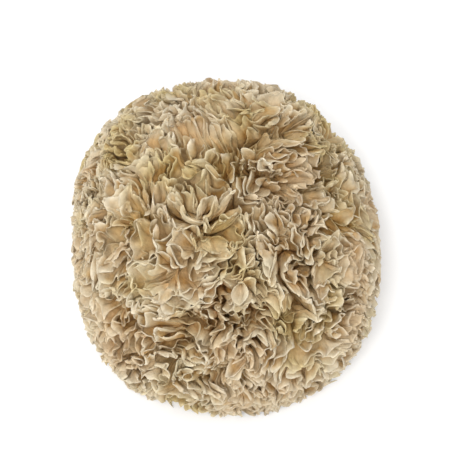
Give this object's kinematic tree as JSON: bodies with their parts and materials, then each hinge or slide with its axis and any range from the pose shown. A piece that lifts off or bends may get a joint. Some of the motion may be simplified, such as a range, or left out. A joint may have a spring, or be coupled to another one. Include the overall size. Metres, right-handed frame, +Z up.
{
  "type": "dried snow fungus head",
  "caption": "Dried head of snow fungus: a squarish ball of thin frilled fronds forking from a hard knob, cut off flat underneath so that it stands crown up.",
  "frame": {"origin": "centre of the flat face where the head was cut off its log or block, on the surface it stands on", "axes": "+Z up out of the crown, -Z out of the cut face, +Y along the head's longer way across, +X along its shorter way across"},
  "size_m": [0.0977, 0.1066, 0.0645],
  "materials": {
    "frond": "matt, slightly translucent dried jelly",
    "cut_base": "matt, dry pith"
  },
  "bodies": {
    "root": {"base": "cut_base", "crown_frond_1": "frond", "crown_frond_2": "frond", "crown_frond_3": "frond", "side_frond_1": "frond", "side_frond_2": "frond", "side_frond_3": "frond", "side_frond_4": "frond", "side_frond_5": "frond", "skirt_frond_1": "frond", "skirt_frond_2": "frond", "skirt_frond_3": "frond", "skirt_frond_4": "frond", "skirt_frond_5": "frond", "skirt_frond_6": "frond"}
  },
  "joints": []
}
